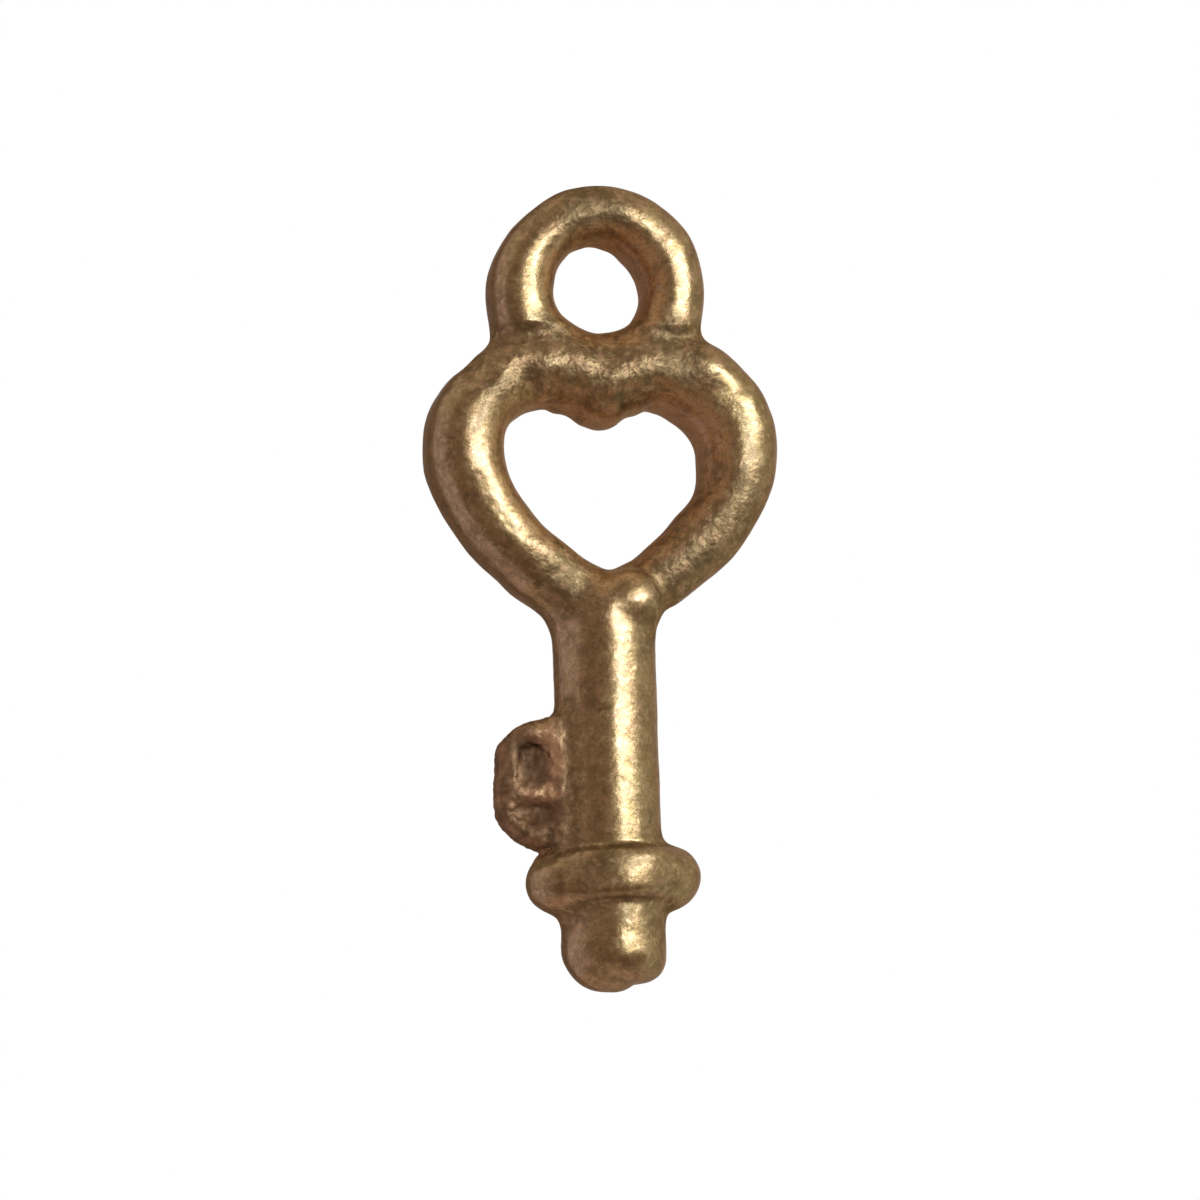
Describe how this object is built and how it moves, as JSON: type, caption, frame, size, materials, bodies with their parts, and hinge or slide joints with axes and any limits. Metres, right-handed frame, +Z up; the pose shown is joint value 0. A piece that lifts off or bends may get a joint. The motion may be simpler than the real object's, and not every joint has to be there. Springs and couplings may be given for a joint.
{
  "type": "heart key charm",
  "caption": "Small cast charm in the shape of an old key, with an open heart bow, a hanging loop, a bit and a collar, to hang from a jump ring.",
  "frame": {"origin": "centre of the hanging loop's eye", "axes": "+Z up along the key as it hangs, from the tip to the loop; -Y is the front; the bit points to -X"},
  "size_m": [0.008, 0.0028, 0.018],
  "materials": {
    "antique_gold": "satin antique gold plating with a fine cast grain"
  },
  "bodies": {
    "root": {"hanging_loop": "antique_gold", "heart_bow": "antique_gold", "shank": "antique_gold", "key_bit": "antique_gold", "collar_ring": "antique_gold", "end_tip": "antique_gold"}
  },
  "joints": []
}
